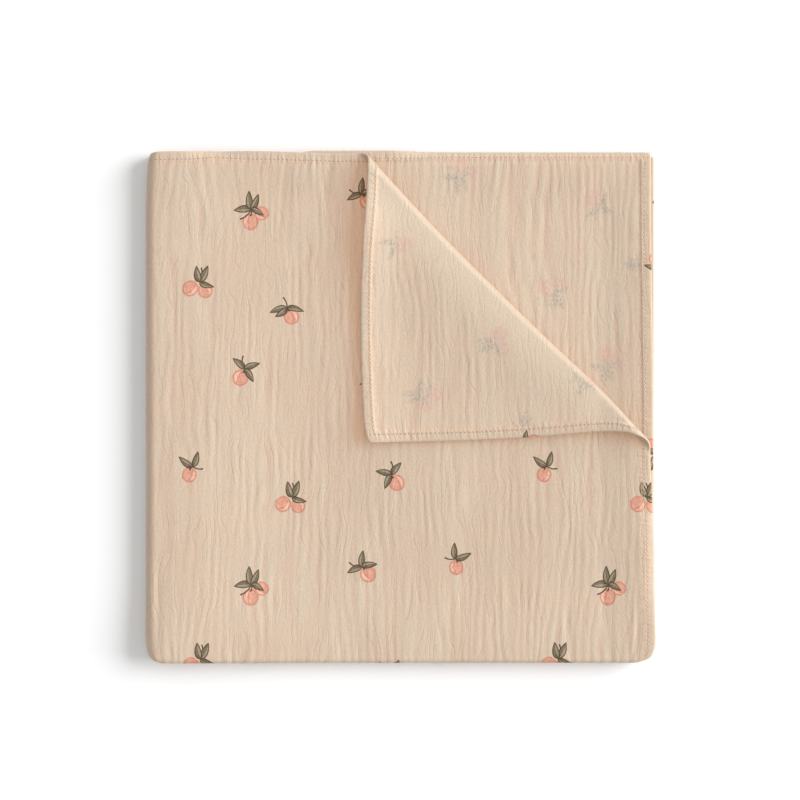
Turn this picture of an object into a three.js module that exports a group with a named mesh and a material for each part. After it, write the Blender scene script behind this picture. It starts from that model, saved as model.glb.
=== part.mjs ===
// A square burp cloth of printed double gauze with a turned hem on all four sides.
// It is folded in quarters, and one corner of its top layer is turned back over the stack.
// Millimetres, +Z up. The stack lies on the plane z = 0 with its middle over the origin:
// its folds are on the left (-X) and at the bottom (-Y), its hems on the right and at the top.
import * as THREE from "three";

const { clamp, smoothstep } = THREE.MathUtils;

// The finished cloth, spread flat
const SIDE = 600;
const FOLD = SIDE / 2;
const SHEET = 1.2;
const HEM_WIDTH = 5.6;
const HEM_SLOPE = 0.8;
const HEM_RAISE = 0.6;

// The folded stack
const STACK_WIDTH = 300;
const STACK_LENGTH = 301.5;
const PAIR_HALF = 1.0; // half the distance between the two layers of a pair
const STACK_HALF = 2.2; // half the distance between the middles of the two pairs
const LEFT_FOLD_GAIN = 2.2; // the thick left fold holds the pairs this much further apart
const BOTTOM_FOLD_GAIN = 0.9;
const PAIR_FOLD_GAIN = 1.0; // and the bottom fold the two layers of each pair
const HEM_GAIN = { pair: 0.6, stack: 0.45 };
const HEM_PRESSED = 0.4; // the share of a pair's hem gain that its bottom fold takes away
const FOLD_PRESSED = 0.5; // and of the bottom fold's gain that the left fold takes away
const FOLD_FLAT = 8; // a fold keeps its full height this far in, and loses it by FOLD_REACH
const FOLD_REACH = 58;
const HEM_REACH = 16;
const UNEVEN = { pair: 0.09, stack: 0.16 };
const BROAD_WAVE = { across: 17, down: 26, acrossStart: 1.3, downStart: 0.4 };
const SLANTING_WAVE = { across: 29, down: 43, start: 2 };

// The rounded corners of the outline. A draw of 0 leaves a corner square, and 0.5 makes it a
// quarter ellipse.
const SOFT_CORNERS = [
  { side: -1, end: -1, across: 12, along: 15, draw: 0.4 },
  { side: 1, end: -1, across: 15, along: 14, draw: 0.4 },
  { side: -1, end: 1, across: 8, along: 8, draw: 0.24 },
  { side: -1, end: 1, across: 45, along: 40, draw: 0.07 },
];

// The hems of the layers don't quite meet. Each row moves a layer's hem in from the edge of
// the stack by "from" to "to" millimetres, changing between the places "start" and "end" of
// its length, which are at x for a hem at the top and at y for one on the right.
const HEM_SHIFTS = [
  { layer: 1, hem: "right", from: 0.3, to: 3.0, start: -90, end: -22 },
  { layer: 2, hem: "right", from: 1.0, to: 2.4, start: -20, end: 120 },
  { layer: 3, hem: "right", from: 6.0, to: 6.0, start: 0, end: 1 },
  { layer: 1, hem: "top", from: 0.6, to: 1.8, start: -85, end: -35 },
  { layer: 2, hem: "top", from: 6.2, to: 0, start: -80, end: -50 },
  { layer: 2, hem: "top", from: 0, to: 1.0, start: -6, end: 24 },
  { layer: 3, hem: "top", from: 5.6, to: 5.6, start: 0, end: 1 },
  { layer: 4, hem: "top", from: 3.0, to: 3.0, start: 0, end: 1 },
];
const SHIFT_REACH = 200;

// The uppermost hem droops over the ones below it. Each row bends a layer's hem down to the
// angle "from" to "to", in degrees at its very edge.
const DROOPS = [
  { layer: 1, hem: "top", from: 78, to: 0, start: -125, end: -82 },
  { layer: 2, hem: "top", from: 0, to: 64, start: -6, end: 24 },
  { layer: 1, hem: "right", from: 20, to: 0, start: -70, end: -35 },
  { layer: 2, hem: "right", from: 28, to: 28, start: 0, end: 1 },
];
const DROOP_REACH = 8;
const DROOP_HOLD = { start: 20, end: 50 }; // droops fade out near the fold that a hem crosses
const SHIFT_HOLD = { start: 3, end: 30 }; // and shifts closer to it
const RAISE_HOLD = { start: 4, end: 12 };

// The corner that is turned back rolls over a slanting crease from the top hem to the right hem.
const CREASE_TOP = new THREE.Vector2(-21.2, 149.9);
const CREASE_RIGHT = new THREE.Vector2(142.3, -17.9);
const CREASE_BOWS = [
  { at: 0.3, reach: 0.25, bow: -1.7 },
  { at: 0.85, reach: 0.15, bow: 1.9 },
];
const ROLL_RADIUS = 2.7;
const ROLL_END_GAIN = 0.8;
const FLAP_CLEARANCE = 2.1; // from the middle of the top layer to the middle of the flap
const FLAP_SETTLE = 17; // the flap comes down to that over this length behind the roll
const FLAP_SLIDE = 0.055; // the flap is pulled askew along the crease, for each mm from it
const FLAP_PULL = 0.985;
const FLAP_GRIP = 35; // the flap's own bends start this far behind the roll

// The flap's hems curl up. Its left hem bows outwards between the roll and its tip, most of it
// lost by rollEnd along that hem, and its lower hem rises towards the roll.
const CURL = { topHem: 2.6, rightHem: 1.0, tip: 0.8, reach: 15 };
const HEM_BOW = { out: 3.1, tipReach: 7, rollStart: 70, rollEnd: 190, lost: 0.8, fade: 75 };
const HEM_RISE = { up: 4.2, at: 148, reach: 34, fade: 30, start: 4, end: 16 };

// The lines that the cloth is divided along, as distances from a hem or a fold
const HEM_LINES = [0, 2.8, HEM_WIDTH - HEM_SLOPE, HEM_WIDTH, 11];
const OPEN_LINES = { visible: 10, hidden: 6 };
const FOLD_LINES = [32, 20, 12];
const LEFT_FOLD_ARC = 7.4;
const LEFT_FOLD_STEPS = 5;
const BOTTOM_FOLD_ARC = 3.4;
const BOTTOM_FOLD_STEPS = 4;
const ROLL_LINES = { first: -4.2, last: 9.3, steps: 9 };
const FLAP_LINES = [14, 20, 28];
const SNAP = 0.05;

const QUARTER_TURN = Math.PI / 2;
const ALONG = CREASE_RIGHT.clone().sub(CREASE_TOP).normalize();
const PAST = new THREE.Vector2(-ALONG.y, ALONG.x);
const CREASE_LENGTH = CREASE_TOP.distanceTo(CREASE_RIGHT);

function bump(distance, reach) {
  return Math.exp(-((distance / reach) ** 2));
}

// 1 close to a fold, 0 out of its reach
function nearFold(distance) {
  return 1 - smoothstep(distance, FOLD_FLAT, FOLD_REACH);
}

// 1 at the hems of the stack, 0 away from them
function nearHem(fromLeft, fromBottom) {
  const fromEdge = FOLD - Math.max(fromLeft, fromBottom);
  return 1 - smoothstep(fromEdge, HEM_WIDTH, HEM_REACH);
}

// A slow, irregular rise and fall of the layers over the stack
function unevenness(fromLeft, fromBottom) {
  const { across, down, acrossStart, downStart } = BROAD_WAVE;
  const broad = Math.sin(fromLeft / across + acrossStart) * Math.sin(fromBottom / down + downStart);
  const { across: aslant, down: aslantDown, start } = SLANTING_WAVE;
  return (broad + Math.sin(fromLeft / aslant - fromBottom / aslantDown + start)) / 2;
}

function pairHalf(fromLeft, fromBottom) {
  const fold = nearFold(fromBottom);
  const hem = nearHem(fromLeft, fromBottom) * (1 - HEM_PRESSED * fold);
  const uneven = UNEVEN.pair * unevenness(fromLeft, fromBottom) * (1 - fold) * (1 - hem);
  return PAIR_HALF + PAIR_FOLD_GAIN * fold + HEM_GAIN.pair * hem + uneven;
}

function stackHalf(fromLeft, fromBottom) {
  const left = nearFold(fromLeft);
  const bottom = nearFold(fromBottom);
  const hem = nearHem(fromLeft, fromBottom);
  const uneven = UNEVEN.stack * unevenness(fromBottom, fromLeft) * (1 - left) * (1 - bottom);
  const folds = LEFT_FOLD_GAIN * left + BOTTOM_FOLD_GAIN * bottom * (1 - FOLD_PRESSED * left);
  return STACK_HALF + folds + HEM_GAIN.stack * hem * (1 - left) + uneven;
}

// Layer 1 lies on top with its print up, then 2 and 3, and layer 4 lies on the ground.
// Layers 1 and 4 are one half of the cloth, out to the hem at the top, and 2 and 3 the other.
function layerOf(a, b) {
  const upper = a < FOLD;
  const outer = b < FOLD;
  return upper ? (outer ? 1 : 2) : outer ? 4 : 3;
}

function change(row, place) {
  return row.from + (row.to - row.from) * smoothstep(place, row.start, row.end);
}

// The folded stack at the point a from the right hem and b from the top hem of the spread
// cloth, before the corner is turned back. It is the middle of the sheet's thickness.
function foldedPoint(a, b) {
  const fromLeft = Math.abs(FOLD - a);
  const fromBottom = Math.abs(FOLD - b);
  const layer = layerOf(a, b);
  const pair = pairHalf(fromLeft, fromBottom);
  const stack = stackHalf(fromLeft, fromBottom);
  const middle = SHEET / 2 + pair + stack;

  // Round the bottom fold, from the outer layer of a pair to its inner one
  const pairFold = pairHalf(fromLeft, 0);
  const pairTurn = Math.min(fromBottom / pairFold, QUARTER_TURN);
  const pairRun = Math.max(fromBottom - pairFold * QUARTER_TURN, 0);
  const bottom = -STACK_LENGTH / 2 + pairFold + SHEET / 2;
  const lengthwise = (STACK_LENGTH / 2 - bottom) / (FOLD - pairFold * QUARTER_TURN);
  let y = bottom - pairFold * Math.cos(pairTurn) + pairRun * lengthwise;
  const inwards = layer === 2 || layer === 3 ? -1 : 1;
  const offset = inwards * (pairRun > 0 ? pair : pairFold * Math.sin(pairTurn));

  // Round the left fold, from the upper pair to the lower one
  const stackFold = stackHalf(0, fromBottom);
  const stackTurn = Math.min(fromLeft / stackFold, QUARTER_TURN);
  const stackRun = Math.max(fromLeft - stackFold * QUARTER_TURN, 0);
  const left = -STACK_WIDTH / 2 + stackFold + pairHalf(0, fromBottom) + SHEET / 2;
  const widthwise = (STACK_WIDTH / 2 - left) / (FOLD - stackFold * QUARTER_TURN);
  const rise = stackRun > 0 ? stack : stackFold * Math.sin(stackTurn);
  let x = left - (stackFold + offset) * Math.cos(stackTurn) + stackRun * widthwise;
  const up = layer <= 2 ? 1 : -1;
  let z = middle + up * (rise + offset * (stackRun > 0 ? 1 : Math.sin(stackTurn)));

  const right = hemMove("right", layer, FOLD - fromLeft, fromBottom, y);
  const top = hemMove("top", layer, FOLD - fromBottom, fromLeft, x);
  x += right.out;
  y += top.out;
  z -= Math.hypot(right.down, top.down);
  return roundedCorner(new THREE.Vector3(x, y, z));
}

// How far a layer's point near one of its hems is moved out and down, by the hem's small shift
// and by its droop, which is an arc that starts DROOP_REACH from the hem
function hemMove(hem, layer, fromHem, fromFold, place) {
  const rows = (table) => table.filter((row) => row.layer === layer && row.hem === hem);
  const near = 1 - smoothstep(fromHem, 0, SHIFT_REACH);
  const free = smoothstep(fromFold, SHIFT_HOLD.start, SHIFT_HOLD.end);
  const loose = smoothstep(fromFold, DROOP_HOLD.start, DROOP_HOLD.end);
  const move = { out: 0, down: 0 };
  for (const row of rows(HEM_SHIFTS)) move.out -= change(row, place) * near * free;
  for (const row of rows(DROOPS)) {
    const angle = THREE.MathUtils.degToRad(change(row, place)) * loose;
    if (angle === 0) continue;
    const bend = angle / DROOP_REACH;
    const run = Math.max(DROOP_REACH - fromHem, 0);
    move.out += (DROOP_REACH - Math.sin(angle) / bend) * near;
    move.out -= run - Math.sin(bend * run) / bend;
    move.down += (1 - Math.cos(bend * run)) / bend;
  }
  return move;
}

// Draws in the square corners of the outline
function roundedCorner(point) {
  for (const corner of SOFT_CORNERS) {
    const p = (corner.side * point.x - STACK_WIDTH / 2) / corner.across + 1;
    const q = (corner.end * point.y - STACK_LENGTH / 2) / corner.along + 1;
    if (p <= 0 || q <= 0) continue;
    point.x += corner.side * corner.across * p * (Math.sqrt(1 - corner.draw * q * q) - 1);
    point.y += corner.end * corner.along * q * (Math.sqrt(1 - corner.draw * p * p) - 1);
  }
  return point;
}

// Height of the top layer beside a point of it, by a move in plan
function topLayerHeight(a, b, moveX, moveY) {
  const fromLeft = FOLD - a + moveX;
  const fromBottom = FOLD - b + moveY;
  const pair = pairHalf(fromLeft, fromBottom);
  return SHEET / 2 + 2 * (pair + stackHalf(fromLeft, fromBottom));
}

// The middle of the sheet, with the top layer's corner rolled over the crease and laid back
function clothPoint(a, b) {
  const point = foldedPoint(a, b);
  if (layerOf(a, b) !== 1) return point;
  const fromTop = new THREE.Vector2(point.x, point.y).sub(CREASE_TOP);
  const along = fromTop.dot(ALONG);
  const share = along / CREASE_LENGTH;
  const radius = ROLL_RADIUS + ROLL_END_GAIN * clamp(Math.abs(2 * share - 1), 0, 1) ** 4;
  let edge = 0;
  for (const row of CREASE_BOWS) edge += row.bow * bump(share - row.at, row.reach);
  const start = edge - radius;
  const run = fromTop.dot(PAST) - start;
  if (run <= 0) return point;

  const turn = Math.min(run / radius, Math.PI);
  const back = Math.max(run - Math.PI * radius, 0);
  const held = smoothstep(back, 0, FLAP_GRIP);
  const lost = HEM_BOW.lost * smoothstep(a, HEM_BOW.rollStart, HEM_BOW.rollEnd);
  const bow = (1 - Math.exp(-a / HEM_BOW.tipReach)) * (1 - lost) * Math.exp(-b / HEM_BOW.fade);
  const past = start + radius * Math.sin(turn) - back * FLAP_PULL;
  const place = CREASE_TOP.clone()
    .addScaledVector(ALONG, along + back * FLAP_SLIDE)
    .addScaledVector(PAST, past);
  place.x -= HEM_BOW.out * bow * held;
  const rising = bump(b - HEM_RISE.at, HEM_RISE.reach) * Math.exp(-a / HEM_RISE.fade);
  place.y += HEM_RISE.up * rising * smoothstep(run, HEM_RISE.start, HEM_RISE.end);

  const settled = bump(back, FLAP_SETTLE);
  const lying = FLAP_CLEARANCE + (2 * radius - FLAP_CLEARANCE) * settled;
  const rolled = radius * (1 - Math.cos(turn));
  const curl =
    CURL.topHem * bump(b, CURL.reach) +
    CURL.rightHem * bump(a, CURL.reach) +
    CURL.tip * bump(Math.hypot(a, b), CURL.reach);
  const ground = topLayerHeight(a, b, place.x - point.x, place.y - point.y);
  const base = ground - topLayerHeight(a, b, 0, 0) + point.z;
  return new THREE.Vector3(place.x, place.y, base + (back > 0 ? lying : rolled) + curl * held);
}

// How much the turned hem raises the wrong side. It is squeezed flat inside the folds.
function hemRaise(a, b) {
  const fromHem = Math.min(a, b, SIDE - a, SIDE - b);
  const fromFold = Math.min(Math.abs(FOLD - a), Math.abs(FOLD - b));
  const free = smoothstep(fromFold, RAISE_HOLD.start, RAISE_HOLD.end);
  return HEM_RAISE * free * (1 - smoothstep(fromHem, HEM_WIDTH - HEM_SLOPE, HEM_WIDTH));
}

// The dividing lines of the cloth along one side, from hem to fold to hem
function dividingLines(arc, arcSteps) {
  const openStart = HEM_LINES.at(-1);
  const openEnd = FOLD - FOLD_LINES[0];
  const half = (count) => {
    const open = [];
    for (let i = 1; i <= count; i++) open.push(openStart + ((openEnd - openStart) * i) / count);
    return [...HEM_LINES, ...open, ...FOLD_LINES.slice(1).map((line) => FOLD - line)];
  };
  const lines = half(OPEN_LINES.visible);
  for (let i = -arcSteps; i <= arcSteps; i++) lines.push(FOLD + (arc * i) / arcSteps);
  return [...lines, ...half(OPEN_LINES.hidden).reverse().map((line) => SIDE - line)];
}

// Cuts a convex piece of the flat cloth along the line where pastCrease equals level
function cutPiece(piece, level) {
  const heights = piece.map(([a, b]) => pastCrease(a, b) - level);
  const sides = heights.map((height) => (Math.abs(height) < SNAP ? 0 : height));
  if (sides.every((side) => side >= 0) || sides.every((side) => side <= 0)) return [piece];
  const below = [];
  const above = [];
  piece.forEach((corner, i) => {
    const j = (i + 1) % piece.length;
    if (sides[i] <= 0) below.push(corner);
    if (sides[i] >= 0) above.push(corner);
    if (sides[i] * sides[j] < 0) {
      const t = sides[i] / (sides[i] - sides[j]);
      const meet = corner.map((value, k) => value + (piece[j][k] - value) * t);
      below.push(meet);
      above.push(meet);
    }
  });
  return [below, above];
}

// Distance past the crease in the spread cloth, near enough to place the dividing lines
function pastCrease(a, b) {
  const x = STACK_WIDTH / 2 - a;
  const y = STACK_LENGTH / 2 - b;
  return (x - CREASE_TOP.x) * PAST.x + (y - CREASE_TOP.y) * PAST.y;
}

// The spread cloth as convex pieces: a grid that follows hems and folds, and in the top layer
// a band of narrow strips along the roll
function clothPieces() {
  const across = dividingLines(LEFT_FOLD_ARC, LEFT_FOLD_STEPS);
  const down = dividingLines(BOTTOM_FOLD_ARC, BOTTOM_FOLD_STEPS);
  const { first, last, steps } = ROLL_LINES;
  const levels = [...FLAP_LINES];
  for (let i = 0; i <= steps; i++) levels.push(first + ((last - first) * i) / steps);

  const pieces = [];
  for (let i = 0; i + 1 < across.length; i++) {
    for (let j = 0; j + 1 < down.length; j++) {
      const [a0, a1, b0, b1] = [across[i], across[i + 1], down[j], down[j + 1]];
      let cut = [[[a0, b0], [a1, b0], [a1, b1], [a0, b1]]];
      if (layerOf((a0 + a1) / 2, (b0 + b1) / 2) === 1) {
        for (const level of levels) cut = cut.flatMap((piece) => cutPiece(piece, level));
      }
      pieces.push(...cut);
    }
  }
  return pieces;
}

// The pieces as triangles on shared points of the flat cloth
function clothMesh(pieces) {
  const points = [];
  const numbers = new Map();
  const numberOf = ([a, b]) => {
    const key = `${a.toFixed(3)} ${b.toFixed(3)}`;
    if (!numbers.has(key)) {
      numbers.set(key, points.length);
      points.push([a, b]);
    }
    return numbers.get(key);
  };
  const triangles = [];
  for (const piece of pieces) {
    const ring = piece.map(numberOf).filter((n, i, all) => n !== all[(i + 1) % all.length]);
    for (let i = 1; i + 1 < ring.length; i++) triangles.push([ring[0], ring[i], ring[i + 1]]);
  }
  return { points, triangles };
}

// Gives the sheet its thickness: the printed face, the wrong face with the hem's raised strip,
// and the narrow rim between them
function sheetGeometry({ points, triangles }) {
  const middle = new THREE.BufferGeometry();
  const centres = points.map(([a, b]) => clothPoint(a, b));
  middle.setFromPoints(centres);
  middle.setIndex(triangles.flat());
  middle.computeVertexNormals();
  const normals = middle.getAttribute("normal");

  const printed = [];
  const wrong = [];
  centres.forEach((centre, i) => {
    const normal = new THREE.Vector3().fromBufferAttribute(normals, i);
    const raise = hemRaise(...points[i]);
    printed.push(centre.clone().addScaledVector(normal, SHEET / 2));
    wrong.push(centre.clone().addScaledVector(normal, -SHEET / 2 - raise));
  });

  const count = points.length;
  const faces = [];
  const rim = new Map();
  for (const [p, q, r] of triangles) {
    faces.push(p, q, r, r + count, q + count, p + count);
    for (const [from, to] of [[p, q], [q, r], [r, p]]) {
      const back = `${to} ${from}`;
      if (rim.has(back)) rim.delete(back);
      else rim.set(`${from} ${to}`, [from, to]);
    }
  }
  for (const [from, to] of rim.values()) {
    faces.push(to, from, from + count, from + count, to + count, to);
  }
  const geometry = new THREE.BufferGeometry().setFromPoints([...printed, ...wrong]);
  geometry.setIndex(faces);
  geometry.computeVertexNormals();
  return geometry;
}

const gauze = new THREE.MeshStandardMaterial({ color: 0xdec7af, roughness: 0.92, metalness: 0 });
const cloth = new THREE.Mesh(sheetGeometry(clothMesh(clothPieces())), gauze);
cloth.name = "burp_cloth";

const foldedCloth = new THREE.Group();
foldedCloth.add(cloth);

export default foldedCloth;
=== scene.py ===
# A square burp cloth of printed double gauze, folded in quarters, with a corner of its top layer
# turned back. It lies on a white table and is seen from straight above.
import math

import bmesh
import bpy
import numpy as np
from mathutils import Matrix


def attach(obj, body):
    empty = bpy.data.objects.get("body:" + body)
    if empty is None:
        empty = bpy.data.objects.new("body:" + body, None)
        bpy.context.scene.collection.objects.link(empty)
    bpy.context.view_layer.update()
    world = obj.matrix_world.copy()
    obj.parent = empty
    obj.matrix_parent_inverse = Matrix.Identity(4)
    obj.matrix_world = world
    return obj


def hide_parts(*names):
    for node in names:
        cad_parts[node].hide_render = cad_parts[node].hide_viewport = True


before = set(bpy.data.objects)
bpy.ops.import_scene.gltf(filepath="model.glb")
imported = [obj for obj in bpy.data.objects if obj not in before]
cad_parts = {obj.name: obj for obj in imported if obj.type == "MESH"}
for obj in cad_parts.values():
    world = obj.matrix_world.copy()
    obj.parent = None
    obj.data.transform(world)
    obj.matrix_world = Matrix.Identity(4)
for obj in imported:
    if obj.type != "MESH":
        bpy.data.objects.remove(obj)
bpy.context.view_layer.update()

bpy.ops.object.select_all(action="DESELECT")

# The camera
# It hangs above the cloth with a long lens. The photograph shows the folded cloth, 300 mm wide,
# across 510 of its 800 pixels, with its middle a little under the picture's own.
PICTURE = 800
PIXEL = 0.000588
CLOTH_MIDDLE = (400, 407)
LENS = 100
SENSOR = 36
SEEN_HEIGHT = 0.011

view_width = PICTURE * PIXEL
bpy.ops.object.camera_add(
    location=(
        (PICTURE / 2 - CLOTH_MIDDLE[0]) * PIXEL,
        (CLOTH_MIDDLE[1] - PICTURE / 2) * PIXEL,
        SEEN_HEIGHT + view_width * LENS / SENSOR,
    ),
    rotation=(0, 0, 0),
)
camera = bpy.context.object
camera.name = "camera_above"
camera.data.lens = LENS
camera.data.sensor_width = SENSOR
camera.data.dof.use_dof = False
bpy.context.scene.camera = camera

# The shape of the folded cloth
# One cut square, 600 mm a side. a is the distance from the hem on the right and b from the hem
# at the top, both in millimetres on the spread cloth, and each fold is at half of the side.
# Layer 1 lies on top with its print up, then come 2 and 3, and layer 4 lies on the table.
MM = 0.001
SIDE = 600
FOLD = SIDE / 2
CAD_SHEET = 1.2
SHEET = 1.0
HEM_WIDTH = 5.6
HEM_RAISE = 0.36
RAISE_HOLD = (4, 12)
STACK_WIDTH = 300
STACK_LENGTH = 301.5
PAIR_HALF = 1.0
STACK_HALF = 2.2
LEFT_FOLD_GAIN = 2.1
LEFT_FOLD_REACH = 115
BOTTOM_FOLD_GAIN = 0.9
PAIR_FOLD_GAIN = 1.0
HEM_GAIN_PAIR = 0.5
HEM_GAIN_STACK = 0.9
HEM_LOW = 0.6
HEM_LOW_FADE = (100, 170)
HEM_PRESSED = 0.4
FOLD_PRESSED = 0.5
FOLD_FLAT = 8
FOLD_REACH = 58
HEM_REACH = 32
UNEVEN_PAIR = 0.09
UNEVEN_STACK = 0.16
UNEVEN_WAVES = (17, 26)
UNEVEN_SLANT = (29, -43)

# Corners of the outline: side, end, reach across, reach along, how far they are drawn in
SOFT_CORNERS = [
    (-1, -1, 12, 15, 0.4),
    (1, -1, 15, 14, 0.4),
    (-1, 1, 8, 8, 0.24),
    (-1, 1, 45, 40, 0.07),
]
# Layer, hem, set back from and to, between these places along the hem
HEM_SHIFTS = [
    (1, "right", 0.3, 3.0, -90, -22),
    (2, "right", 1.0, 2.4, -20, 120),
    (3, "right", 6.0, 6.0, 0, 1),
    (1, "top", 0.6, 1.8, -85, -35),
    (2, "top", 6.2, 0, -80, -50),
    (2, "top", 0, 1.0, -6, 24),
    (3, "top", 5.6, 5.6, 0, 1),
    (4, "top", 3.0, 3.0, 0, 1),
]
SHIFT_REACH = 200
# Layer, hem, degrees that its edge droops from and to, between these places
DROOPS = [
    (1, "top", 78, 0, -125, -82),
    (2, "top", 0, 64, -6, 24),
    (1, "right", 20, 0, -70, -35),
]
DROOP_REACH = 8
DROOP_HOLD = (20, 50)
DROOP_LEAST = 1e-6
SHIFT_HOLD = (3, 30)


def smooth(x, start, end):
    t = np.clip((x - start) / (end - start), 0, 1)
    return t * t * (3 - 2 * t)


def bump(distance, reach):
    return np.exp(-((distance / reach) ** 2))


def near_fold(distance):
    """1 at the bottom fold, where the layers stand farther apart."""
    return 1 - smooth(distance, FOLD_FLAT, FOLD_REACH)


def near_hem(from_left, from_bottom):
    """1 at the top hems and the right ones, which lie flatter lower down."""
    right = 1 - smooth(FOLD - from_left, HEM_WIDTH, HEM_REACH)
    right = right * (1 - HEM_LOW * (1 - smooth(from_bottom, *HEM_LOW_FADE)))
    return np.maximum(right, 1 - smooth(FOLD - from_bottom, HEM_WIDTH, HEM_REACH))


def unevenness(from_left, from_bottom):
    """Slow waves from -1 to 1, which the layers lie in."""
    waves = np.sin(from_left / UNEVEN_WAVES[0] + 1.3) * np.sin(from_bottom / UNEVEN_WAVES[1] + 0.4)
    slant = np.sin(from_left / UNEVEN_SLANT[0] + from_bottom / UNEVEN_SLANT[1] + 2)
    return (waves + slant) / 2


def pair_half(from_left, from_bottom):
    """Half the distance between the two layers that the bottom fold joins."""
    fold = near_fold(from_bottom)
    hem = near_hem(from_left, from_bottom) * (1 - HEM_PRESSED * fold)
    uneven = UNEVEN_PAIR * unevenness(from_left, from_bottom) * (1 - fold) * (1 - hem)
    return PAIR_HALF + PAIR_FOLD_GAIN * fold + HEM_GAIN_PAIR * hem + uneven


def stack_half(from_left, from_bottom):
    """Half the distance between the middles of the two pairs, which the left fold joins."""
    left = 1 - smooth(from_left, FOLD_FLAT, LEFT_FOLD_REACH)
    bottom = near_fold(from_bottom)
    hem = near_hem(from_left, from_bottom)
    uneven = UNEVEN_STACK * unevenness(from_bottom, from_left) * (1 - left) * (1 - bottom)
    folds = LEFT_FOLD_GAIN * left + BOTTOM_FOLD_GAIN * bottom * (1 - FOLD_PRESSED * left)
    return STACK_HALF + folds + HEM_GAIN_STACK * hem * (1 - left) + uneven


def layer_of(a, b):
    return np.where(a < FOLD, np.where(b < FOLD, 1, 2), np.where(b < FOLD, 4, 3))


def hem_move(hem, layer, from_hem, from_fold, place):
    """How far a layer near one of its hems is moved out and down, by its shift and its droop."""
    near = 1 - smooth(from_hem, 0, SHIFT_REACH)
    free = smooth(from_fold, *SHIFT_HOLD)
    loose = smooth(from_fold, *DROOP_HOLD)
    out = np.zeros_like(from_hem)
    down = np.zeros_like(from_hem)
    for row_layer, row_hem, start, end, place_start, place_end in HEM_SHIFTS:
        if row_hem == hem:
            shift = start + (end - start) * smooth(place, place_start, place_end)
            out -= np.where(layer == row_layer, shift * near * free, 0)
    run = np.maximum(DROOP_REACH - from_hem, 0)
    for row_layer, row_hem, start, end, place_start, place_end in DROOPS:
        if row_hem == hem:
            share = smooth(place, place_start, place_end)
            angle = np.radians(start + (end - start) * share) * loose
            angle = np.where(layer == row_layer, np.maximum(angle, DROOP_LEAST), DROOP_LEAST)
            bend = angle / DROOP_REACH
            out += (DROOP_REACH - np.sin(angle) / bend) * near
            out -= run - np.sin(bend * run) / bend
            down += (1 - np.cos(bend * run)) / bend
    return out, down


def folded_cloth(a, b):
    """The middle of the sheet, folded in quarters, before its corner is turned back."""
    from_left = np.abs(FOLD - a)
    from_bottom = np.abs(FOLD - b)
    layer = layer_of(a, b)
    pair = pair_half(from_left, from_bottom)
    stack = stack_half(from_left, from_bottom)
    zero = np.zeros_like(a)

    pair_fold = pair_half(from_left, zero)
    pair_turn = np.minimum(from_bottom / pair_fold, math.pi / 2)
    pair_run = np.maximum(from_bottom - pair_fold * math.pi / 2, 0)
    bottom = -STACK_LENGTH / 2 + pair_fold + CAD_SHEET / 2
    lengthwise = (STACK_LENGTH / 2 - bottom) / (FOLD - pair_fold * math.pi / 2)
    y = bottom - pair_fold * np.cos(pair_turn) + pair_run * lengthwise
    inwards = np.where((layer == 2) | (layer == 3), -1, 1)
    offset = inwards * np.where(pair_run > 0, pair, pair_fold * np.sin(pair_turn))

    stack_fold = stack_half(zero, from_bottom)
    stack_turn = np.minimum(from_left / stack_fold, math.pi / 2)
    stack_run = np.maximum(from_left - stack_fold * math.pi / 2, 0)
    left = -STACK_WIDTH / 2 + stack_fold + pair_half(zero, from_bottom) + CAD_SHEET / 2
    widthwise = (STACK_WIDTH / 2 - left) / (FOLD - stack_fold * math.pi / 2)
    rise = np.where(stack_run > 0, stack, stack_fold * np.sin(stack_turn))
    x = left - (stack_fold + offset) * np.cos(stack_turn) + stack_run * widthwise
    up = np.where(layer <= 2, 1, -1)
    tilt = np.where(stack_run > 0, 1, np.sin(stack_turn))
    z = CAD_SHEET / 2 + pair + stack + up * (rise + offset * tilt)

    out_right, down_right = hem_move("right", layer, FOLD - from_left, from_bottom, y)
    out_top, down_top = hem_move("top", layer, FOLD - from_bottom, from_left, x)
    x = x + out_right
    y = y + out_top
    z = z - np.hypot(down_right, down_top)
    for side, end, across, along, draw in SOFT_CORNERS:
        p = np.clip((side * x - STACK_WIDTH / 2) / across + 1, 0, None)
        q = np.clip((end * y - STACK_LENGTH / 2) / along + 1, 0, None)
        x = x + side * across * p * (np.sqrt(1 - draw * q * q) - 1)
        y = y + end * along * q * (np.sqrt(1 - draw * p * p) - 1)
    return x, y, z


# The corner that is turned back
# The top layer rolls over a slanting crease, which runs from its top hem to its right hem. The
# flap lies back over the stack, wrong side up, with its hems curling up a little.
CREASE_TOP = np.array([-21.2, 149.9])
CREASE_RIGHT = np.array([142.3, -17.9])
CREASE_BOWS = [(0.3, 0.25, -1.7), (0.85, 0.15, 1.9)]
ROLL_RADIUS = 2.7
ROLL_END_GAIN = 0.8
FLAP_CLEARANCE = 2.1
FLAP_SETTLE = 42
FLAP_SLIDE = 0.055
FLAP_PULL = 0.985
FLAP_GRIP = 35
CURL_TOP_HEM = 1.5
CURL_RIGHT_HEM = 1.0
CURL_TIP = 0.8
CURL_REACH = 15
CURL_BY_ROLL = 3.4
CURL_ROLL = (60, 150)
BOW_OUT = 3.1
BOW_TIP_REACH = 7
BOW_ROLL = (70, 190)
BOW_LOST = 0.8
BOW_FADE = 75
RISE_UP = 4.2
RISE_AT = 148
RISE_REACH = 34
RISE_FADE = 30
RISE_ROLL = (4, 16)

crease_length = np.linalg.norm(CREASE_RIGHT - CREASE_TOP)
along_crease = (CREASE_RIGHT - CREASE_TOP) / crease_length
past_crease = np.array([-along_crease[1], along_crease[0]])


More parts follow.
